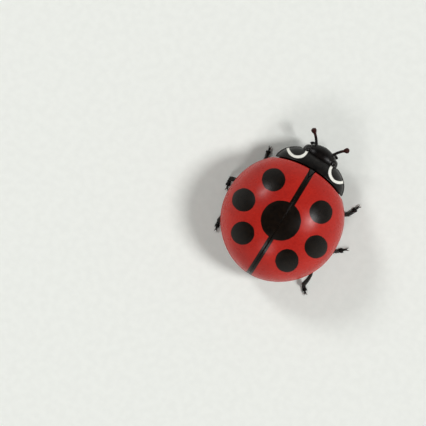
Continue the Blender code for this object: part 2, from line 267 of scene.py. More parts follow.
def finished(name, shape, material, *nodes, angle=50, chart=None):
    """Makes a bmesh a piece of the animal that stands for these nodes of the solid model."""
    bmesh.ops.recalc_face_normals(shape, faces=shape.faces)
    if chart:
        layer = shape.loops.layers.uv.new("Surface")
        for face in shape.faces:
            for loop in face.loops:
                loop[layer].uv = chart(loop.vert.co)
    mesh = bpy.data.meshes.new(name)
    shape.to_mesh(mesh)
    shape.free()
    mesh.materials.append(material)
    mesh.shade_smooth()
    mesh.set_sharp_from_angle(angle=radians(angle))
    piece = bpy.data.objects.new(name, mesh)
    bpy.context.scene.collection.objects.link(piece)
    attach(piece, "root")
    if nodes:
        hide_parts(*nodes)


def slice_off(shape, point, normal):
    """Removes what lies on the normal's side of a plane, and closes the cut."""
    parts = shape.verts[:] + shape.edges[:] + shape.faces[:]
    cut = bmesh.ops.bisect_plane(shape, geom=parts, plane_co=point, plane_no=normal, clear_outer=True)
    rim = [part for part in cut["geom_cut"] if isinstance(part, bmesh.types.BMEdge)]
    bmesh.ops.contextual_create(shape, geom=rim)


# --- the body's shape ---


REAR_TAPER, APEX_SHIFT, SHOULDER_POWER, PROFILE_POWER = 0.05, 0.2 * MM, 2.12, 2.06
RIM_LIFT_FRONT, RIM_LIFT_REAR, FRONT_WALL = 0.22 * MM, 0.1 * MM, 0.2
SHIELD_POWER, SHIELD_HEIGHT = 2.15, 1.48 * MM
BELLY_DEPTH = 0.28 * MM
HEAD_SIZE = mm(0.93, 0.62, 0.68)
HEAD_TURN = Matrix.Rotation(radians(24), 3, "X")
JAW_TAPER = 0.32


def plan_corner(across, back, power):
    """How far out to push a point of an ellipse in plan, so that its power is this one."""
    share = hypot(across, back)
    if share < 1e-9:
        return 1.0
    return ((abs(across) / share) ** power + (abs(back) / share) ** power) ** (-1 / power)


def dome_point(body, unit, inset=0.0):
    """The place on the wing cases' dome of a point on the upper half of the unit ball."""
    across, back, up = unit
    radial = hypot(across, back)
    rise = max(0.0, up) ** (2 / PROFILE_POWER)
    plan = radial ** (2 / PROFILE_POWER) / radial if radial > 1e-9 else 0.0
    reach, lift = body.rear_reach - inset, RIM_LIFT_REAR
    if back < 0:
        plan *= plan_corner(across, back, SHOULDER_POWER)
        reach, lift = body.front_reach - inset * FRONT_WALL, RIM_LIFT_FRONT
    across, back = across * plan, back * plan
    taper = 1 - REAR_TAPER * max(0.0, back) ** 2
    return Vector((
        (body.half_width - inset) * across * taper,
        body.dome_y + reach * back - APEX_SHIFT * rise,
        body.rim_z + (body.dome_height - inset) * rise + lift * back * back * (1 - rise),
    ))


def shield_point(body, unit, inset=0.0):
    """The place on the pronotum's hood of a point on the upper half of the unit ball."""
    across, back, up = unit
    corner = plan_corner(across, back, SHIELD_POWER)
    half = (SHIELD_HIGH.x - SHIELD_LOW.x) / 2 - inset
    return Vector((
        half * across * corner,
        body.base_y + 0.45 * MM + (1.37 * MM - inset) * back * corner,
        SHIELD_LOW.z + (SHIELD_HEIGHT - inset) * max(0.0, up),
    ))


def joint_line(body, across):
    """Where the wing cases' front edge lies at a distance from the mid-line."""
    radius = body.base_radius
    return body.base_y + radius - sqrt(radius * radius - across * across)


def meridian(turn, latitude):
    """A point of the unit ball: turn goes from the top to the left side, latitude from front to rear."""
    level = cos(latitude)
    return Vector((sin(turn) * level, sin(latitude), cos(turn) * level))


def head_centre(body):
    return Vector((0, body.base_y - 0.78 * MM, 1.56 * MM))


def on_head(body, place):
    """A place given from the head's centre, in the head's own tilted directions."""
    return head_centre(body) + HEAD_TURN @ place


# --- materials ---


SOFT_STEP = {"interpolation_type": "SMOOTHSTEP"}
EDGE_WANDER = 0.008 * MM  # how far a mark's edge strays, as pigment does in the cuticle

# Spots as (to the left, ahead) from the dome's centre in half-widths: the large one, then each side's row.
SPOTS = ((0.015, -0.018), (0.463, 0.488), (0.706, -0.048), (0.437, -0.517), (-0.471, 0.443), (-0.7, -0.08),
         (-0.415, -0.522))


def fill(node, inputs):
    """Gives a node's inputs a value or a link each. A node given as a value stands for its live output."""
    for key, value in inputs.items():
        if isinstance(value, bpy.types.Node):
            value = next(socket for socket in value.outputs if socket.enabled)
        if isinstance(value, bpy.types.NodeSocket):
            node.id_data.links.new(value, node.inputs[key])
        else:
            node.inputs[key].default_value = value


def add_node(tree, kind, inputs=None, **fields):
    """Adds a shader node, sets its fields, and fills its inputs."""
    made = tree.nodes.new("ShaderNode" + kind)
    for field, value in fields.items():
        setattr(made, field, value)
    fill(made, inputs or {})
    return made


def finish_with(material, **sockets):
    """Fills sockets of the material's shader, each named with _ for a space."""
    shader = material.node_tree.nodes["Principled BSDF"]
    fill(shader, {key.replace("_", " "): value for key, value in sockets.items()})


def new_material(name, colour_value, **sockets):
    """A material with one Principled shader. Also gives its node tree and its Object coordinates."""
    material = bpy.data.materials.new(name)
    material.use_nodes = True
    material.diffuse_color = colour_value
    finish_with(material, Base_Color=colour_value, **sockets)
    tree = material.node_tree
    return material, tree, add_node(tree, "TexCoord").outputs["Object"]


def paint_over(material, mask, colour_value):
    """Lays one colour over the material's own where the mask is 1."""
    tree = material.node_tree
    base = tree.nodes["Principled BSDF"].inputs["Base Color"]
    under = base.links[0].from_socket if base.is_linked else base.default_value
    painted = {"Factor": mask, "A": under, "B": colour_value}
    finish_with(material, Base_Color=add_node(tree, "Mix", painted, data_type="RGBA"))
    return material


def clouds(tree, place, size, low=0.0, high=1.0):
    """A value that wanders between two others, in clouds about this large."""
    noise = add_node(tree, "TexNoise", {"Vector": place, "Scale": 1 / size, "Detail": 4.0})
    spread = {"Value": noise, "From Min": 0.3, "From Max": 0.7, "To Min": low, "To Max": high}
    return add_node(tree, "MapRange", spread, **SOFT_STEP)


def ring(tree, place, centre, radius, half, edge):
    """A mark that is 1 within half a width of a circle, and fades at its edge. Radius 0 gives a disc."""
    away = add_node(tree, "VectorMath", {0: place, 1: centre}, operation="DISTANCE")
    off = add_node(tree, "Math", {0: away, 1: radius}, operation="SUBTRACT")
    off = add_node(tree, "Math", {0: off}, operation="ABSOLUTE")
    wander = clouds(tree, place, 0.35 * MM, -EDGE_WANDER, EDGE_WANDER)
    off = add_node(tree, "Math", {0: off, 1: wander}, operation="ADD")
    fade = {"Value": off, "From Min": half + edge, "From Max": half - edge}
    return add_node(tree, "MapRange", fade, **SOFT_STEP)


def pits(tree, place, spacing, depth, strength, flat):
    """Bump of fine pits this far apart, over a gentle unevenness."""
    ground = add_node(tree, "UVMap", uv_map="Surface") if flat else place
    spread = {"Vector": ground, "Scale": 1 / spacing, "Randomness": 0.75}
    cells = add_node(tree, "TexVoronoi", spread, voronoi_dimensions="2D" if flat else "3D")
    pit = add_node(tree, "MapRange", {"Value": cells, "From Min": 0.03, "From Max": 0.24}, **SOFT_STEP)
    uneven = {0: clouds(tree, place, 4 * spacing), 1: 0.16, 2: pit}
    height = add_node(tree, "Math", uneven, operation="MULTIPLY_ADD")
    return add_node(tree, "Bump", {"Height": height, "Distance": depth, "Strength": strength})


def spotted_shell(body, marks, colours):
    """Wing case chitin: hard cuticle under a clear wax film, which gives even, glassy red and black spots."""
    material, tree, place = new_material("wing_case_chitin", colours.red, IOR=1.5, Specular_IOR_Level=0.16)
    # The red is a little uneven: broad deeper patches, and a fine mottle of the cells under the cuticle.
    broad, fine = clouds(tree, place, 1.6 * MM, 0.0, 0.55), clouds(tree, place, 0.12 * MM, 0.0, 0.4)
    paint_over(material, add_node(tree, "Math", {0: broad, 1: fine}, operation="ADD"), colours.deep_red)
    # The marks are laid out in plan: round spots on the dome, and a stripe along the mid-line.
    plan, sideways = (
        add_node(tree, "VectorMath", {0: place, 1: ways}, operation="MULTIPLY")
        for ways in ((1, 1, 0), (1, 0, 0))
    )
    dark = 0.0
    for index, (across, ahead) in enumerate(SPOTS):
        centre = (across * body.half_width, body.dome_y - ahead * body.half_width, 0)
        spot = ring(tree, plan, centre, 0.0, marks.small_spot if index else marks.main_spot, marks.edge)
        dark = add_node(tree, "Math", {0: dark, 1: spot}, operation="MAXIMUM")
    # The edge that is folded under the dome has no spots.
    height = add_node(tree, "SeparateXYZ", {"Vector": place}).outputs["Z"]
    above = {"Value": height, "From Min": body.rim_z + 0.3 * MM, "From Max": body.rim_z + 0.4 * MM}
    dark = add_node(tree, "Math", {0: dark, 1: add_node(tree, "MapRange", above)}, operation="MULTIPLY")
    stripe = ring(tree, sideways, (0, 0, 0), 0.0, marks.stripe / 2, marks.edge)
    dark = add_node(tree, "Math", {0: dark, 1: stripe}, operation="MAXIMUM")
    mottle = {"Factor": clouds(tree, place, 0.2 * MM, 0.0, 0.6), "A": colours.spot, "B": colours.black}
    paint_over(material, dark, add_node(tree, "Mix", mottle, data_type="RGBA"))
    # Real pits are about 0.015 mm wide and are drawn larger, so that they show.
    bump = pits(tree, place, 0.11 * MM, 0.004 * MM, 0.16, True)
    finish_with(material, Roughness=clouds(tree, place, 0.5 * MM, 0.25, 0.34), Normal=bump)
    return material


def black_shell(name, colour_value, roughness, spacing, strength, flat=True):
    """Black chitin: hard, pitted cuticle, coloured right through, so that only its gloss shows the form."""
    material, tree, place = new_material(name, colour_value, IOR=1.5, Specular_IOR_Level=0.17)
    browner = tuple(more * (value + 0.002) for more, value in zip((2.2, 1.7, 1.5), colour_value)) + (1.0,)
    paint_over(material, clouds(tree, place, 0.22 * MM), browner)
    rough = clouds(tree, place, 0.3 * MM, roughness * 0.8, roughness * 1.25)
    finish_with(material, Roughness=rough, Normal=pits(tree, place, spacing, 0.006 * MM, strength, flat))
    return material


def polished_black(colours):
    """Mouth and scutellum chitin: the barest, smoothest black, with small sharp lights."""
    name = "polished_black_chitin"
    return bpy.data.materials.get(name) or black_shell(name, colours.black, 0.3, 0.08 * MM, 0.25)


def mirrored_place(tree):
    """The x, y and z of Object coordinates, with the right side of the body laid on the left."""
    place = add_node(tree, "TexCoord").outputs["Object"]
    parts = add_node(tree, "SeparateXYZ", {"Vector": place}).outputs
    return add_node(tree, "Math", {0: parts["X"]}, operation="ABSOLUTE"), parts["Y"], parts["Z"]


def shield_shell(body, marks, colours):
    """Pronotum chitin: satin black, with an arc at each front corner where white tissue shows through."""
    material = black_shell("pronotum_chitin", colours.black, 0.33, 0.09 * MM, 0.25)
    tree = material.node_tree
    across, along, height = mirrored_place(tree)
    plan = add_node(tree, "CombineXYZ", {"X": across, "Y": along})
    centre = (0.402 * body.half_width, body.dome_y - 1.159 * body.half_width, 0)
    arc = ring(tree, plan, centre, marks.arc_radius, marks.arc_width / 2, marks.edge)
    above = {"Value": height, "From Min": SHIELD_LOW.z + 0.05 * MM, "From Max": SHIELD_LOW.z + 0.12 * MM}
    above_rim = add_node(tree, "MapRange", above, **SOFT_STEP)
    pale = add_node(tree, "Math", {0: arc, 1: above_rim}, operation="MULTIPLY")
    return paint_over(material, pale, colours.ivory)


def head_shell(body, marks, colours):
    """Head chitin: polished black, with the small pale spot that the species has beside each eye."""
    material = black_shell("head_chitin", colours.black, 0.3, 0.08 * MM, 0.25)
    tree = material.node_tree
    across, along, height = mirrored_place(tree)
    place = add_node(tree, "CombineXYZ", {"X": across, "Y": along, "Z": height})
    beside_eye = on_head(body, mm(0.66, -0.39, 0.24))
    return paint_over(material, ring(tree, place, beside_eye, 0.0, 0.072 * MM, marks.edge), colours.ivory)


def feeler_shell(colours):
    """Thin feeler chitin: nearly black stems, and clubs where the red-brown inside shows through."""
    material = black_shell("feeler_chitin", colours.leg, 0.4, 0.04 * MM, 0.3, flat=False)
    tree = material.node_tree
    tip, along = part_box("antenna_left")[0].y, mirrored_place(tree)[1]
    near_tip = {"Value": along, "From Min": tip + 0.55 * MM, "From Max": tip + 0.25 * MM}
    return paint_over(material, add_node(tree, "MapRange", near_tip, **SOFT_STEP), colours.club)


def varied(name, first, second, size, roughness, **sockets):
    """A smooth material whose colour and roughness both wander a little."""
    material, tree, place = new_material(name, first, **sockets)
    paint_over(material, clouds(tree, place, size), second)
    finish_with(material, Roughness=clouds(tree, place, size / 2, roughness * 0.85, roughness * 1.15))
    return material


# --- the shell plates ---


def wing_case_place(body, sign):
    """The function that lays a grid over one wing case: u from the seam to the rim, v from front to rear."""
    plate_tip, plate_half = PLATE_HIGH.y + body.seam, PLATE_HIGH.x + body.seam

    @cache
    def front_limit(turn, inset):
        """The latitude at which the front edge lies."""

        def ahead(latitude):
            at = dome_point(body, meridian(turn, latitude), inset)
            return joint_line(body, at.x) - at.y

        return solve(ahead, -pi / 2, 0.2)

    def inner_edge(latitude, inset):
        """The turn at which the seam, or the scutellum's notch, begins, and its distance from mid-line."""
        outline = dome_point(body, meridian(pi / 2, latitude), inset).x
        ridge = dome_point(body, meridian(0, latitude), inset)
        edge = body.suture / 2 + plate_half * clamp((plate_tip - ridge.y) / (plate_tip - body.base_y))
        return asin(min(0.95, edge / max(outline, 1e-6))), edge

    def place(u, v, inset):
        share, along = crowd_ends(u), crowd_ends(v, 0.7)
        turn = share * pi / 2
        for _ in range(3):
            start = front_limit(turn, inset)
            latitude = start + (pi / 2 - start) * along
            first, edge = inner_edge(latitude, inset)
            turn = first + (pi / 2 - first) * share
        at = dome_point(body, meridian(turn, latitude), inset)
        if inset == 0:
            rise = (at.z - body.rim_z) / body.dome_height
            outward = Vector((at.x, at.y - body.dome_y, 0)).normalized()
            at += outward * body.bead * (hump(rise, 0.035) - 1.2 * hump(rise - 0.075, 0.03))
            sunk = fillet(at.x - edge, 0.03 * MM) + fillet(at.y - joint_line(body, at.x), 0.08 * MM)
            inward = (Vector((0, body.dome_y, body.rim_z)) - at).normalized()
            inward.x = 0
            at += inward * sunk
        # Inside, the left case's lip runs under the right one, so the seam is closed.
        nearest = -0.06 * MM if inset and sign > 0 else body.suture / 2
        at.x = (nearest if u < 0.001 and nearest < 0 else max(at.x, nearest)) * sign
        return at

    return place


def scutellum_point(body, u, v, depth):
    """A point on the small triangular plate: u from right to left, v from its front edge to its tip."""
    front, tip, half = body.base_y - 0.02 * MM, PLATE_HIGH.y, PLATE_HIGH.x
    along = crowd_ends(v, 0.5)
    narrow, back = 1 - along, front + (tip - front) * along
    across = (crowd_ends(u, 0.5) * 2 - 1) * half * max(narrow, 0.02)
    latitude = solve(lambda value: back - dome_point(body, meridian(0, value)).y, -pi / 2, 0.3)
    at = dome_point(body, meridian(0, latitude))
    at.x = across
    edge = min(half * narrow - abs(across), tip - back)
    at.z += 0.02 * MM - fillet(edge, 0.05 * MM) - depth
    return at


def hood_place(body):
    """The function that lays a grid over the pronotum: u from right to left, v from front to rear."""
    # The head comes out of the hood through a hollow of this place and size.
    hollow, hollow_size = Vector((0, body.base_y - 1.19 * MM, 1.4 * MM)), mm(1.3, 0.78, 0.9)
    length_along = 1.1 * MM

    @cache
    def limits(turn, inset):
        """The latitudes of the hood's front and rear edges."""

        def clear_of_head(latitude):
            away = shield_point(body, meridian(turn, -latitude), inset) - hollow
            return sum((a / b) ** 2 for a, b in zip(away, hollow_size)) - 1

        def behind_joint(latitude):
            at = shield_point(body, meridian(turn, latitude), inset)
            return joint_line(body, at.x) - body.seam - at.y

        return -solve(clear_of_head, 0.2, pi / 2), solve(behind_joint, -0.6, 0.6)

    def place(u, v, inset):
        turn, along = (crowd_ends(u, 0.8) - 0.5) * pi, crowd_ends(v, 0.8)
        front, rear = limits(turn, inset)
        at = shield_point(body, meridian(turn, front + (rear - front) * along), inset)
        if inset == 0:
            rise = (at.z - SHIELD_LOW.z) / SHIELD_HEIGHT
            outward = Vector((at.x, at.y - body.base_y, 0)).normalized()
            at += outward * 0.05 * MM * (hump(rise, 0.04) - 0.4 * hump(rise - 0.1, 0.04))
            front_lip = fillet(along * length_along, 0.07 * MM)
            rear_lip = fillet((1 - along) * length_along, 0.06 * MM)
            at += (Vector((0, body.base_y, SHIELD_LOW.z)) - at).normalized() * max(front_lip, rear_lip)
        return at

    return place


class OBJECT_OT_ladybird_wing_cases(bpy.types.Operator):
    """Lays the two wing cases over the dome, with their bead, rounded seam and folded edge"""

    bl_idname = "object.ladybird_wing_cases"
    bl_label = "Wing cases"

    def execute(self, context):
        body, marks, colours, _ = settings(context)
        skin = spotted_shell(body, marks, colours)
        crown = chart_about(Vector((0, body.dome_y, body.rim_z)), UP, body.half_width)
        for side, sign in SIDES.items():
            shell = lay_shell(72, 96, wing_case_place(body, sign), body.shell)
            finished(f"wing_case_{side}", shell, skin, f"elytron_{side}", chart=crown)
        return {"FINISHED"}


class OBJECT_OT_ladybird_scutellum(bpy.types.Operator):
    """Sets the small triangular plate into its notch at the front end of the seam"""

    bl_idname = "object.ladybird_scutellum"
    bl_label = "Scutellum"

    def execute(self, context):
        body, _, colours, _ = settings(context)
        plate = lay_shell(16, 16, partial(scutellum_point, body), 0.12 * MM)
        crown = chart_about(Vector((0, body.base_y, body.rim_z)), UP, 2 * MM)
        finished("scutellum_plate", plate, polished_black(colours), "scutellum", chart=crown)
        return {"FINISHED"}


class OBJECT_OT_ladybird_pronotum(bpy.types.Operator):
    """Makes the hood behind the head, with its rounded lip, side beads and pale arcs"""

    bl_idname = "object.ladybird_pronotum"
    bl_label = "Pronotum"

    def execute(self, context):
        body, marks, colours, _ = settings(context)
        hood = lay_shell(96, 44, hood_place(body), 0.24 * MM)
        crown = chart_about(Vector((0, body.base_y, SHIELD_LOW.z)), UP, 1.9 * MM)
        finished("pronotum_hood", hood, shield_shell(body, marks, colours), "pronotum", chart=crown)
        return {"FINISHED"}


# --- the underside ---


WAIST = 0.25 * MM  # how far behind the dome's centre the thorax ends
SEGMENT_JOINTS = (0.36, 0.56, 0.71, 0.83, 0.92)  # joints of the abdomen's plates, from waist to tip


def let_in(body, at):
    """How far the underside is let in: leg sockets, the mid-line's groove and the plates' joints."""
    deep = sum(0.06 * MM * hump(hypot(at.x - hip.x, at.y - hip.y), 0.4 * MM) for hip in HIPS.values())
    back = at.y - body.dome_y - WAIST
    if back < 0:
        deep += 0.035 * MM * hump(at.x, 0.04 * MM) * smooth_step(0, -0.3 * MM, back)
        return deep + 0.04 * MM * hump(back + 1.8 * MM, 0.05 * MM)
    # Each plate's rear edge stands over a groove, from which the next plate rises slowly.
    whole = body.rear_reach - body.shell - WAIST
    for joint in SEGMENT_JOINTS:
        behind = back - whole * (joint + 0.04 * (at.x / body.half_width) ** 2)
        deep += 0.05 * MM * hump(behind, (0.17 if behind > 0 else 0.06) * MM)
    return deep


def trunk_point(body, u, v, height):
    """A point on the thorax and abdomen, or with a height on their upper side, inside the shell."""
    across, back, radial = disc_point(u, v)
    at = Vector((0, body.dome_y, body.rim_z))
    if radial > 1e-6:
        rim = dome_point(body, (across / radial, back / radial, 0), body.shell + body.seam)
        at = at.lerp(rim, radial)
    if height:
        at.z = body.rim_z + height * sqrt(max(0.0, 1 - radial * radial * 0.9))
        return at
    at.z -= BELLY_DEPTH * max(0.0, 1 - radial**PROFILE_POWER) ** (1 / PROFILE_POWER)
    at.z += let_in(body, at) * smooth_step(1.0, 0.93, radial)
    return at


def chest_point(body, low, high, u, v, height):
    """A point on the plate under the pronotum, or with a height on its upper side."""
    across, back, radial = disc_point(u, v)
    radial = min(1.0, radial)
    at = shield_point(body, (across, back, 0), 0.16 * MM)
    if height:
        at.z = high + height
        return at
    at.z = high - (high - low) * sqrt(1 - radial * radial)
    at.z += let_in(body, at) * smooth_step(1.0, 0.9, radial)
    # A narrow keel runs between the front legs.
    at.z -= 0.05 * MM * hump(at.x, 0.12 * MM) * smooth_step(1.0, 0.8, radial)
    return at


class OBJECT_OT_ladybird_underside(bpy.types.Operator):
    """Makes the chest, thorax and abdomen under the shell, with their plates and leg sockets"""

    bl_idname = "object.ladybird_underside"
    bl_label = "Underside"

    def execute(self, context):
        body, _, colours, _ = settings(context)
        # Belly chitin is in thinner, softer plates, with coarse pits and a low sheen.
        skin = black_shell("belly_chitin", colours.leg, 0.42, 0.09 * MM, 0.6, flat=False)
        for name, sign in (("thorax", 1), ("abdomen", -1)):
            trunk = lay_shell(88, 110, partial(trunk_point, body), 0.8 * MM)
            slice_off(trunk, (0, body.dome_y + WAIST - sign * body.seam / 2, 0), (0, sign, 0))
            if sign > 0:
                slice_off(trunk, (0, body.base_y + 0.25 * MM, 0), (0, -1, 0))
            finished(f"{name}_plates", trunk, skin, name)
        low, high = (corner.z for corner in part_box("prothorax"))
        chest = lay_shell(60, 60, partial(chest_point, body, low, high), 0.25 * MM)
        slice_off(chest, (0, body.base_y + 0.43 * MM, 0), (0, 1, 0))
        slice_off(chest, (0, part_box("head")[0].y + 0.95 * MM, 0), (0, -1, 0))
        finished("prothorax_plate", chest, skin, "prothorax")
        return {"FINISHED"}


# --- tubes ---


def curve_at(line, share):
    """A point on a smooth curve through a list of places, and the direction there."""
    last = len(line) - 1
    place = min(share, 0.9999) * last
    index = int(place)
    t = place - index
    b, c = line[index], line[index + 1]
    a = line[index - 1] if index else b * 2 - c
    d = line[index + 2] if index + 2 <= last else c * 2 - b
    one, two, three = c - a, 2 * a - 5 * b + 4 * c - d, 3 * b - a - 3 * c + d
    heading = one + 2 * two * t + 3 * three * t * t
    return 0.5 * (2 * b + one * t + two * t * t + three * t**3), heading.normalized()


def tube_point(line, girth, share, angle):
    """A point on a tube's wall, with its outward direction and the tube's own direction."""
    at, heading = curve_at(line, share)
    side = heading.cross(UP).normalized()
    wide, high = girth(share)
    out = side * cos(angle) * wide + side.cross(heading) * sin(angle) * high
    return at + out, out.normalized(), heading


def add_tube(shape, line, girth, sides, rings):
    """Adds a closed tube along a line to a bmesh. girth gives its half width and half height at a share."""
    tube = bmesh.new()
    bmesh.ops.create_cone(tube, cap_ends=True, segments=sides, radius1=1, radius2=1, depth=1)
    upright = [edge for edge in tube.edges if abs(edge.verts[0].co.z - edge.verts[1].co.z) > 0.5]
    bmesh.ops.subdivide_edges(tube, edges=upright, cuts=rings)
    for vert in tube.verts:
        vert.co = tube_point(line, girth, vert.co.z + 0.5, atan2(vert.co.y, vert.co.x))[0]
    bmesh.ops.recalc_face_normals(tube, faces=tube.faces)
    mesh = bpy.data.meshes.new("tube")
    tube.to_mesh(mesh)
    tube.free()
    shape.from_mesh(mesh)
    bpy.data.meshes.remove(mesh)
    return shape


def round_end(depth, radius):
    """The share of its radius that a rounded end has at a depth from its tip."""
    share = min(1.0, max(0.02, depth / radius))
    return sqrt(share * (2 - share))


def closed_ends(girth, whole, radius):
    """The same girth with both its ends rounded off."""

    def rounded(share):
        near = round_end(min(share, 1 - share) * whole, radius)
        return [half * near for half in girth(share)]

    return rounded


def bead_row(joints, round_share=0.3):
    """The girth of a row of segments, pinched where they meet: each one's length and two radii in mm."""
    total = sum(joint[0] for joint in joints)

    def girth(share):
        start = 0.0
        for size, first, last in joints:
            t = (share * total - start) / size
            start += size
            if t <= 1 or start > total * 0.9999:
                t = clamp(t)
                pinch = min(1.0, min(t, 1 - t) / round_share)
                radius = (first + (last - first) * smooth_step(0, 1, t)) * MM
                radius *= 0.84 + 0.16 * sqrt(max(0.0, pinch * (2 - pinch)))
                return radius, radius

    return girth


def swell(first, last, flatness):
    """A girth that grows from one half width to another, and is flatter than wide."""

    def girth(share):
        wide = first + (last - first) * smooth_step(0.0, 0.7, share)
        return wide, wide * flatness

    return girth


def spike(loss, point):
    """The girth of a round spike: how much radius it loses in mm, and the share where it would end."""
    return lambda share: (loss * MM * (point - share),) * 2


# --- the head ---


def mirrored(sign, *places):
    """Places in millimetres for the left side, or with a sign of -1 for the right."""
    return [mm(x * sign, y, z) for x, y, z in places]


def head_capsule(body, eyes):
    """The head's ball, with its brow, the plate over the mouth and a low ridge round each eye."""
    capsule = unit_ball(128, 96)
    bmesh.ops.rotate(capsule, verts=capsule.verts, matrix=Matrix.Rotation(pi / 2, 3, "Y"))
    for vert in capsule.verts:
        across, back, up = vert.co
        narrow = 1 - JAW_TAPER * max(0.0, -up) ** 1.5
        flat = Vector((HEAD_SIZE.x * across * narrow, HEAD_SIZE.y * back, HEAD_SIZE.z * up))
        if back < 0:
            x, z = abs(flat.x / MM), flat.z / MM
            # The plate over the mouth stands forward below an arched groove.
            arch = -0.22 - 0.1 * x * x
            plate = smooth_step(arch + 0.01, arch - 0.05, z) * smooth_step(0.5, 0.4, x)
            flat.y -= 0.075 * MM * plate * smooth_step(-0.62, -0.5, z)
            flat.y += 0.03 * MM * hump(z - arch - 0.03, 0.035) * smooth_step(0.55, 0.4, x)
            # Two shallow hollows on the brow, and a pit for each feeler's root.
            flat.y += 0.03 * MM * hump(hypot(x - 0.28, z - 0.18), 0.16)
            flat.y += 0.08 * MM * hump(hypot(x - 0.5, z - 0.07), 0.09)
        at = on_head(body, flat)
        for eye_at, eye_size in eyes:
            away = sqrt(sum(((a - b) / c) ** 2 for a, b, c in zip(at, eye_at, eye_size)))
            at += (at - head_centre(body)).normalized() * 0.022 * MM * hump(away - 1.16, 0.12)
        vert.co = at
    return capsule


def compound_eye(at, size):
    """A ball of domed, six-sided lenses, about 0.02 mm wide as in life."""
    eye = bmesh.new()
    bmesh.ops.create_icosphere(eye, subdivisions=5, radius=1)
    between = eye.edges[:]
    bmesh.ops.poke(eye, faces=eye.faces)
    bmesh.ops.subdivide_edges(eye, edges=between, cuts=1)
    bmesh.ops.triangulate(eye, faces=eye.faces, quad_method="SHORT_EDGE")
    for vert in eye.verts:
        # The first corners are the lenses' crowns. The new ones lie inside the ball, in the furrows.
        crown = vert.co.length > 0.9998
        vert.co = vert.co.normalized() * (1.0 if crown else 0.988)
    bmesh.ops.scale(eye, verts=eye.verts, vec=size)
    bmesh.ops.translate(eye, verts=eye.verts, vec=at)
    return eye


def upper_lip(body):
    lip = unit_ball(40, 28)
    for vert in lip.verts:
        across, back, up = vert.co
        below = max(0.0, -up)
        shaped = mm(0.36 * across * (1 - 0.12 * below), 0.2 * back, 0.2 * up)
        # The lip's lower edge is notched in the middle.
        shaped.z += 0.05 * MM * hump(shaped.x, 0.12 * MM) * below
        vert.co = on_head(body, mm(0, -0.47, -0.52) + shaped)
    return lip


def jaws(body):
    pair = bmesh.new()
    for sign in SIDES.values():
        line = mirrored(sign, (0.3, -0.3, -0.56), (0.3, -0.47, -0.68), (0.07, -0.55, -0.73))
        add_tube(pair, [on_head(body, place) for place in line], spike(0.08, 1.25), 12, 14)
    return pair


def chin(body):
    plate = unit_ball(36, 24)
    for vert in plate.verts:
        across, back, up = vert.co
        vert.co = on_head(body, mm(0, -0.12, -0.64) + mm(0.34 * across, 0.3 * back, 0.16 * up))
    return plate


def palps(body, sign):
    """A jaw palp that ends in a broad hatchet-shaped joint, and the small lip palp beside it."""
    places = ((0.38, -0.1, -0.56), (0.56, -0.2, -0.62), (0.68, -0.38, -0.62), (0.78, -0.56, -0.66))
    row = bead_row(((0.1, 0.06, 0.07), (0.16, 0.06, 0.08), (0.12, 0.065, 0.08), (0.24, 0.08, 0.15)), 0.2)
    rounded = closed_ends(row, 0.62 * MM, 0.07 * MM)

    def hatchet(share):
        wide, high = rounded(share)
        return wide, high * (1 - 0.35 * smooth_step(0.6, 0.75, share))

    line = [head_centre(body) + place for place in mirrored(sign, *places)]
    pair = add_tube(bmesh.new(), line, hatchet, 18, 60)
    line = mirrored(sign, (0.12, -0.32, -0.74), (0.18, -0.42, -0.8), (0.2, -0.52, -0.8))
    girth = closed_ends(bead_row([(0.08, 0.035, 0.04)] * 3, 0.2), 0.24 * MM, 0.035 * MM)
    return add_tube(pair, [on_head(body, place) for place in line], girth, 12, 30)


class OBJECT_OT_ladybird_head(bpy.types.Operator):
    """Makes the head capsule, its eyes, the upper lip, the jaws and the chin"""

    bl_idname = "object.ladybird_head"
    bl_label = "Head, eyes and jaws"

    def execute(self, context):
        body, marks, colours, _ = settings(context)
        boxes = [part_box(f"eye_{side}") for side in SIDES]
        eyes = [((low + high) / 2, (high - low) / 2) for low, high in boxes]
        brow = chart_about(head_centre(body), HEAD_TURN @ Vector((0, -1, 0.3)), 0.7 * MM)
        capsule, skin = head_capsule(body, eyes), head_shell(body, marks, colours)
        finished("head_capsule", capsule, skin, "head", chart=brow)
        # Eye cornea is clear, in domed lenses over dark pigment, so the eye looks wet and nearly black.
        gloss = {"IOR": 1.52, "Specular_IOR_Level": 0.3}
        cornea = varied("compound_eye_cornea", colours.eye, colours.spot, 0.12 * MM, 0.24, **gloss)
        for side, (at, size) in zip(SIDES, eyes):
            finished(f"compound_eye_{side}", compound_eye(at, size), cornea, f"eye_{side}", angle=16)
        skin = polished_black(colours)
        mouth = chart_about(on_head(body, mm(0, 0, -0.4)), Vector((0, -1, -0.6)), 0.4 * MM)
        finished("upper_lip", upper_lip(body), skin, "labrum", chart=mouth)
        finished("jaws", jaws(body), skin, chart=mouth)
        finished("chin_plate", chin(body), skin, chart=mouth)
        return {"FINISHED"}


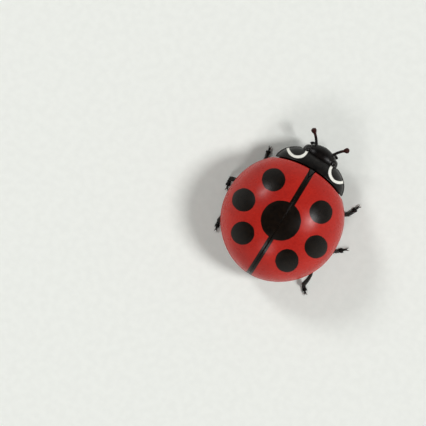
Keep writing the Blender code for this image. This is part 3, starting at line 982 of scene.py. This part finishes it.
class OBJECT_OT_ladybird_feelers(bpy.types.Operator):
    """Makes the eleven-jointed feelers with their clubs, and the two pairs of palps"""

    bl_idname = "object.ladybird_feelers"
    bl_label = "Feelers and palps"

    def execute(self, context):
        body, _, colours, _ = settings(context)
        skin = feeler_shell(colours)
        # A stout first joint, a round second, six slender ones, and a club of three.
        joints = [(0.2, 0.105, 0.1), (0.1, 0.085, 0.085)] + [(0.1, 0.074, 0.08)] * 6
        joints += [(0.11, 0.075, 0.12), (0.1, 0.13, 0.155), (0.13, 0.155, 0.12)]
        girth = closed_ends(bead_row(joints), sum(joint[0] for joint in joints) * MM, 0.1 * MM)
        for side, sign in SIDES.items():
            places = mirrored(sign, (0.5, -0.4, -0.12), (0.64, -0.8, -0.06), (1.16, -1.17, 0.06))
            root, bend, tip = (head_centre(body) + place for place in places)
            line = [root.lerp(bend, step / 8).lerp(bend.lerp(tip, step / 8), step / 8) for step in range(9)]
            feeler = add_tube(bmesh.new(), line, girth, 20, 120)
            finished(f"feeler_{side}", feeler, skin, f"antenna_{side}")
        skin = polished_black(colours)
        for side, sign in SIDES.items():
            cheek = chart_about(on_head(body, mm(0.4 * sign, -0.3, -0.6)), Vector((sign, -1, -0.4)), 0.3 * MM)
            finished(f"palps_{side}", palps(body, sign), skin, f"palp_{side}", chart=cheek)
        return {"FINISHED"}


# --- legs ---


def leg_lines(body, legs, name):
    """The centre lines of a leg's thigh and shin, then its ankle and toe."""
    sign = SIDES[name.split("_")[2]]

    def in_plan(joint, height):
        outward, ahead = POSTURE[name][joint]
        return Vector((sign * outward * body.half_width, body.dome_y - ahead * body.half_width, height))

    hip = Vector((*HIPS[name].xy, legs.hip_z))
    knee, ankle = in_plan("knee", legs.knee_z), in_plan("ankle", legs.ankle_z)
    bow = (knee - hip).cross(ankle - knee).cross(ankle - knee).normalized() * 0.04 * MM
    thigh = [hip, hip.lerp(knee, 0.5) + UP * 0.03 * MM, knee]
    shin = [knee - UP * 0.02 * MM, knee.lerp(ankle, 0.5) - bow, ankle]
    return thigh, shin, ankle, in_plan("toe", 0.05 * MM)


def hip_joint(name, thigh):
    """The round joint in the body and the small ring between it and the thigh."""
    way = (thigh[2] - thigh[0]).normalized()
    level = Vector((way.x, way.y, 0)).normalized()
    ball = unit_ball(40, 28)
    bmesh.ops.scale(ball, verts=ball.verts, vec=mm(0.4, 0.27, 0.25))
    bmesh.ops.rotate(ball, verts=ball.verts, matrix=level.to_track_quat("X", "Z").to_matrix())
    bmesh.ops.translate(ball, verts=ball.verts, vec=HIPS[name] + UP * 0.05 * MM)
    ring_line = [thigh[0] + way * ahead * MM for ahead in (0.12, 0.3, 0.46)]
    girth = closed_ends(lambda share: (0.19 * MM, 0.16 * MM), 0.34 * MM, 0.12 * MM)
    return add_tube(ball, ring_line, girth, 24, 16)


def thigh_tube(line, legs):
    whole = (line[2] - line[0]).length

    def girth(share):
        full = legs.thigh * (0.42 + 0.58 * sin(pi * (0.1 + 0.8 * share)))
        full *= round_end((1 - share) * whole, 0.12 * MM)
        return full, full * 0.78

    return add_tube(bmesh.new(), line, girth, 28, 48)


def shin_tube(line, legs):
    """A slender shin that widens to the foot, with two short spurs at its end."""
    whole = (line[2] - line[0]).length

    def girth(share):
        wide = legs.shin * (0.82 + 0.38 * smooth_step(0.2, 1.0, share) - 0.2 * hump(share - 0.08, 0.06))
        wide *= round_end(share * whole, 0.09 * MM) * round_end((1 - share) * whole, 0.05 * MM)
        return wide, wide * 0.9

    limb = add_tube(bmesh.new(), line, girth, 24, 48)
    heading = (line[2] - line[1]).normalized() * MM
    side = heading.cross(UP).normalized() * MM
    for sign in (1, -1):
        start = line[2] + side * sign * 0.07 - heading * 0.05
        spur = [start, start + heading * 0.09 + side * sign * 0.02, start + heading * 0.16]
        add_tube(limb, spur, spike(0.018, 1.05), 8, 6)
    return limb


def foot_and_claws(ankle, toe, legs):
    """A long first joint, a second of two lobes, a slender claw joint, and apart from them two claws."""
    flat = Vector((toe.x - ankle.x, toe.y - ankle.y, 0))
    whole, side = flat.length, flat.normalized().cross(UP)

    def line(lean, *places):
        """Places as (share of the foot, height in millimetres, and how far to the side that it leans)."""
        ground = Vector((ankle.x, ankle.y, 0))
        return [ground + flat * share + (side * lean * off + UP * up) * MM for share, up, off in places]

    foot, claws = bmesh.new(), bmesh.new()
    first = closed_ends(swell(0.075 * MM, legs.foot * 0.8, 0.7), 0.38 * whole, 0.06 * MM)
    add_tube(foot, line(0, (-0.02, 0.19, 0), (0.16, 0.13, 0), (0.36, 0.085, 0)), first, 20, 20)
    lobe = closed_ends(swell(0.05 * MM, legs.foot * 0.68, 0.72), 0.32 * whole, 0.07 * MM)
    for lean in (1, -1):
        add_tube(foot, line(lean, (0.3, 0.1, 0.02), (0.46, 0.07, 0.05), (0.62, 0.062, 0.075)), lobe, 18, 18)
        hook = line(lean, (0.84, 0.085, 0.02), (0.93, 0.1, 0.05), (1.01, 0.07, 0.075), (1.04, 0.012, 0.08))
        add_tube(claws, hook, spike(0.03, 1.08), 10, 18)
        tooth = line(lean, (0.88, 0.08, 0.03), (0.91, 0.05, 0.04), (0.92, 0.02, 0.045))
        add_tube(claws, tooth, spike(0.018, 1.1), 8, 8)
    last = closed_ends(swell(0.038 * MM, 0.055 * MM, 0.95), 0.48 * whole, 0.04 * MM)
    add_tube(foot, line(0, (0.4, 0.12, 0), (0.62, 0.15, 0), (0.88, 0.085, 0)), last, 16, 20)
    return foot, claws


class OBJECT_OT_ladybird_legs(bpy.types.Operator):
    """Makes the six legs: ball joint, thigh, shin, lobed foot and paired claws"""

    bl_idname = "object.ladybird_legs"
    bl_label = "Legs and claws"

    def execute(self, context):
        body, _, colours, legs = settings(context)
        # Leg chitin is brown-black and closely pitted, so it looks duller than the shell.
        skin = black_shell("leg_chitin", colours.leg, 0.36, 0.045 * MM, 0.5, flat=False)
        # Claw chitin is dense and smooth: dark red-brown, with a bright point of light on each hook.
        horn = black_shell("claw_chitin", colours.claw, 0.22, 0.05 * MM, 0.1, flat=False)
        for name in POSTURE:
            thigh, shin, ankle, toe = leg_lines(body, legs, name)
            finished(f"{name}_hip", hip_joint(name, thigh), skin, f"{name}_coxa")
            finished(f"{name}_thigh", thigh_tube(thigh, legs), skin, f"{name}_femur")
            finished(f"{name}_shin", shin_tube(shin, legs), skin, f"{name}_tibia")
            foot, claws = foot_and_claws(ankle, toe, legs)
            finished(f"{name}_foot", foot, skin, f"{name}_tarsus")
            finished(f"{name}_claws", claws, horn)
        return {"FINISHED"}


# --- bristles ---


def grow_bristle(coat, root, way, size, thick, spot):
    """Adds one bristle, with a small patch of its own in the texture map, at a spot of 0 to 1 each way."""
    matrix = Matrix.Translation(root + way * size * 0.48) @ way.to_track_quat("Z", "Y").to_matrix().to_4x4()
    ends = {"radius1": thick, "radius2": thick * 0.1, "depth": size}
    made = bmesh.ops.create_cone(coat, cap_ends=True, segments=3, matrix=matrix, **ends)["verts"]
    layer = coat.loops.layers.uv["OFBake"]
    for face in {face for vert in made for face in vert.link_faces}:
        for index, loop in enumerate(face.loops):
            angle = index * 2.1
            loop[layer].uv = (spot[0] + 0.0015 * cos(angle), spot[1] + 0.0015 * sin(angle))


def grow_on_tube(coat, chance, line, girth, count, size, lean, thick, band, shares=(0.0, 1.0), below=0.0):
    """Scatters bristles over a tube. band is the strip of the texture map that they use."""
    for _ in range(count):
        share = shares[0] + (shares[1] - shares[0]) * chance.random()
        angle = chance.random() * 2 * pi
        if below and sin(angle) > 0 and chance.random() < below:
            angle = -angle
        at, out, heading = tube_point(line, girth, share, angle)
        jitter = Vector([chance.uniform(-1, 1) for _ in range(3)])
        way = (out * (1 - lean) + heading * lean + jitter * 0.25).normalized()
        spot = (0.02 + 0.96 * share, band[0] + (band[1] - band[0]) * (angle / (2 * pi) % 1.0))
        grow_bristle(coat, at - out * 0.004 * MM, way, size * (0.7 + 0.6 * chance.random()), thick, spot)


class OBJECT_OT_ladybird_bristles(bpy.types.Operator):
    """Grows the short bristles of the thighs, shins and feet"""

    bl_idname = "object.ladybird_bristles"
    bl_label = "Bristles"

    def execute(self, context):
        body, _, colours, legs = settings(context)
        # Bristle chitin is fine, springy and slightly see-through, so each looks pale and satiny.
        skin = varied("bristle_chitin", colours.bristle, colours.leg, 0.15 * MM, 0.45, IOR=1.52)
        many, few = legs.bristles, legs.bristles // 2

        def shin_girth(share):
            return (legs.shin * (0.82 + 0.36 * share),) * 2

        def thigh_girth(share):
            return legs.thigh * 0.92, legs.thigh * 0.72

        def sole_girth(share):
            return legs.foot * (0.7 + 0.4 * share), 0.05 * MM

        for index, name in enumerate(POSTURE):
            thigh, shin, ankle, toe = leg_lines(body, legs, name)
            coat = bmesh.new()
            coat.loops.layers.uv.new("OFBake")
            grow = partial(grow_on_tube, coat, random.Random(100 + index))
            flat = Vector((toe.x - ankle.x, toe.y - ankle.y, 0))
            drops = ((0, 0.09), (0.3, 0.13), (0.62, 0.14))
            sole = [ankle + flat * ahead - UP * drop * MM for ahead, drop in drops]
            grow(shin, shin_girth, many, 0.075 * MM, 0.72, 0.0032 * MM, (0.36, 0.64), (0.12, 1.0))
            grow(thigh, thigh_girth, few, 0.06 * MM, 0.8, 0.003 * MM, (0.02, 0.34), (0.3, 0.9))
            grow(sole, sole_girth, many, 0.06 * MM, 0.7, 0.003 * MM, (0.66, 0.98), below=0.6)
            for vert in coat.verts:
                vert.co.z = max(vert.co.z, 0.001 * MM)
            finished(f"{name}_bristles", coat, skin)
        return {"FINISHED"}


# --- studio ---


VIEW_WIDTH, VIEW_DEPTH = 22.97 * MM, 2.4 * MM  # how wide the view is at this height above the floor
VIEW_CENTRE = (3.36 * MM, 1.62 * MM)  # across and back from the dome's centre
VIEW_TURN = radians(211.6)
LENS, SENSOR = 400, 36

# Each light's name, the way to it, its apparent width in degrees and its strength.
LIGHTS = (
    ("key_light", (-94, -34, 105), 15, 1.85),
    ("fill_light", (120, -40, 90), 14, 0.95),
    ("rear_light", (-10, 120, 90), 14, 0.65),
)


class OBJECT_OT_ladybird_stage(bpy.types.Operator):
    """Sets up the plain pale floor, the soft lights and the camera that looks straight down"""

    bl_idname = "object.ladybird_stage"
    bl_label = "Studio"

    def execute(self, context):
        scene = context.scene
        body, _, colours, _ = settings(context)
        floor = bmesh.new()
        bmesh.ops.create_circle(floor, cap_ends=True, segments=96, radius=1.5)
        mesh = bpy.data.meshes.new("studio_floor")
        floor.to_mesh(mesh)
        floor.free()
        mesh.materials.append(self.board(colours))
        ground = bpy.data.objects.new("studio_floor", mesh)
        scene.collection.objects.link(ground)

        # Pale walls under a dim ceiling, so that dark, glossy shell stays dark when seen from above.
        scene.world = bpy.data.worlds.new("studio_walls")
        scene.world.use_nodes = True
        sky = scene.world.node_tree
        ray = add_node(sky, "TexCoord").outputs["Generated"]
        level = add_node(sky, "SeparateXYZ", {"Vector": ray}).outputs["Z"]
        dimming = {"Value": level, "From Min": 0.0, "From Max": 0.6, "To Min": 0.965, "To Max": 0.1}
        dimmed = add_node(sky, "MapRange", dimming, **SOFT_STEP)
        fill(sky.nodes["Background"], {"Color": linear("#f1f3ee"), "Strength": dimmed})

        for name, way, spread, strength in LIGHTS:
            lamp = bpy.data.lights.new(name, "SUN")
            lamp.angle = radians(spread)
            lamp.energy = strength
            light = bpy.data.objects.new(name, lamp)
            light.location = Vector(way).normalized() * 0.2
            light.rotation_euler = (-Vector(way)).to_track_quat("-Z", "Y").to_euler()
            scene.collection.objects.link(light)

        lens = bpy.data.cameras.new("camera")
        lens.lens, lens.sensor_width = LENS, SENSOR
        lens.clip_start, lens.clip_end = 0.001, 20
        camera = bpy.data.objects.new("camera", lens)
        scene.collection.objects.link(camera)
        height = VIEW_WIDTH / SENSOR * LENS + VIEW_DEPTH
        camera.location = (VIEW_CENTRE[0], body.dome_y + VIEW_CENTRE[1], height)
        camera.rotation_euler = (0, 0, VIEW_TURN)
        scene.camera = camera
        scene.view_settings.view_transform = "Standard"
        return {"FINISHED"}

    def board(self, colours):
        """Matt studio board: pale, fine-grained card that spreads the light and shows no gloss."""
        material, tree, place = new_material("matt_studio_board", colours.floor, Roughness=0.85)
        grain = clouds(tree, place, 0.4 * MM)
        paint_over(material, grain, tuple(0.97 * value for value in colours.floor[:3]) + (1.0,))
        bump = {"Height": grain, "Distance": 0.004 * MM, "Strength": 0.2}
        finish_with(material, Normal=add_node(tree, "Bump", bump))
        return material


# --- panel ---


class VIEW3D_PT_ladybird(bpy.types.Panel):
    """Lists the ladybird's settings and the operators that build it"""

    bl_label = "Ladybird"
    bl_space_type = "VIEW_3D"
    bl_region_type = "UI"
    bl_category = "Ladybird"

    def draw(self, context):
        for group in settings(context):
            box = self.layout.box()
            for name in group.bl_rna.properties.keys():
                if name not in ("rna_type", "name"):
                    box.prop(group, name)
        for operator in STEPS:
            self.layout.operator(operator.bl_idname)


STEPS = (
    OBJECT_OT_ladybird_wing_cases,
    OBJECT_OT_ladybird_scutellum,
    OBJECT_OT_ladybird_pronotum,
    OBJECT_OT_ladybird_underside,
    OBJECT_OT_ladybird_head,
    OBJECT_OT_ladybird_feelers,
    OBJECT_OT_ladybird_legs,
    OBJECT_OT_ladybird_bristles,
    OBJECT_OT_ladybird_stage,
)
CLASSES = (*GROUPS.values(), *STEPS, VIEW3D_PT_ladybird)


def register():
    for made in CLASSES:
        bpy.utils.register_class(made)
    for name, group in GROUPS.items():
        setattr(bpy.types.Scene, name, PointerProperty(type=group))


def unregister():
    for name in GROUPS:
        delattr(bpy.types.Scene, name)
    for made in reversed(CLASSES):
        bpy.utils.unregister_class(made)


def main():
    """Builds the whole ladybird in its studio."""
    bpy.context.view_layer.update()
    register()
    for operator in STEPS:
        family, name = operator.bl_idname.split(".")
        getattr(getattr(bpy.ops, family), name)()


if __name__ == "__main__":
    main()
